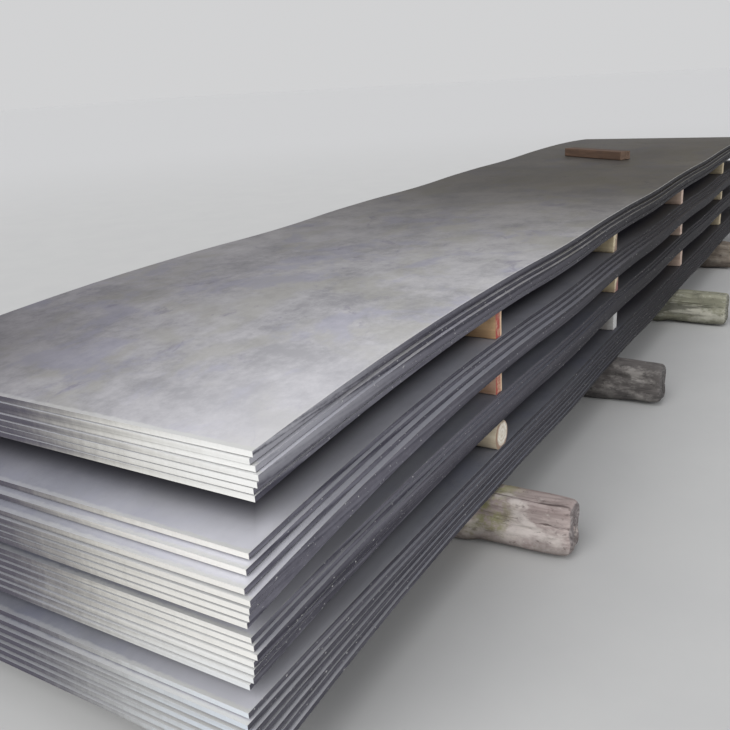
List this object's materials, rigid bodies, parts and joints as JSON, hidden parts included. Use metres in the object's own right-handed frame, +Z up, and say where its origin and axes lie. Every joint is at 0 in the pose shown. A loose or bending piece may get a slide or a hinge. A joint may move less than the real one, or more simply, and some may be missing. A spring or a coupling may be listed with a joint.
{
  "type": "steel plate stack",
  "caption": "Steel plates stacked in bundles, parted by timber spacers, on timber bearers, with a loose piece of timber on top.",
  "frame": {"origin": "middle of the stack's footprint, on the ground", "axes": "+X along the plates from the near end to the far end, +Y across them, +Z up"},
  "size_m": [6.1496, 1.6164, 0.8077],
  "materials": {
    "plate_steel": "mill finish, stained",
    "spacer_wood": "rough sawn",
    "bearer_wood": "weathered"
  },
  "bodies": {
    "root": {"plate_top_1": "plate_steel", "plate_top_2": "plate_steel", "plate_top_3": "plate_steel", "plate_top_4": "plate_steel", "plate_top_5": "plate_steel", "plate_top_6": "plate_steel", "plate_top_7": "plate_steel", "plate_upper_1": "plate_steel", "plate_upper_2": "plate_steel", "plate_upper_3": "plate_steel", "plate_upper_4": "plate_steel", "plate_upper_5": "plate_steel", "plate_upper_6": "plate_steel", "plate_upper_7": "plate_steel", "plate_lower_1": "plate_steel", "plate_lower_2": "plate_steel", "plate_lower_3": "plate_steel", "plate_lower_4": "plate_steel", "plate_lower_5": "plate_steel", "plate_lower_6": "plate_steel", "plate_lower_7": "plate_steel", "plate_bottom_1": "plate_steel", "plate_bottom_2": "plate_steel", "plate_bottom_3": "plate_steel", "plate_bottom_4": "plate_steel", "plate_bottom_5": "plate_steel", "plate_bottom_6": "plate_steel", "plate_bottom_7": "plate_steel", "spacer_top_1": "spacer_wood", "spacer_top_2": "spacer_wood", "spacer_top_3": "spacer_wood", "spacer_top_4": "spacer_wood", "spacer_middle_1": "spacer_wood", "spacer_middle_2": "spacer_wood", "spacer_middle_3": "spacer_wood", "spacer_middle_4": "spacer_wood", "spacer_low_1": "spacer_wood", "spacer_low_2": "spacer_wood", "spacer_low_3": "spacer_wood", "spacer_low_4": "spacer_wood", "loose_timber": "spacer_wood", "bearer_1": "bearer_wood", "bearer_2": "bearer_wood", "bearer_3": "bearer_wood", "bearer_4": "bearer_wood"}
  },
  "joints": []
}
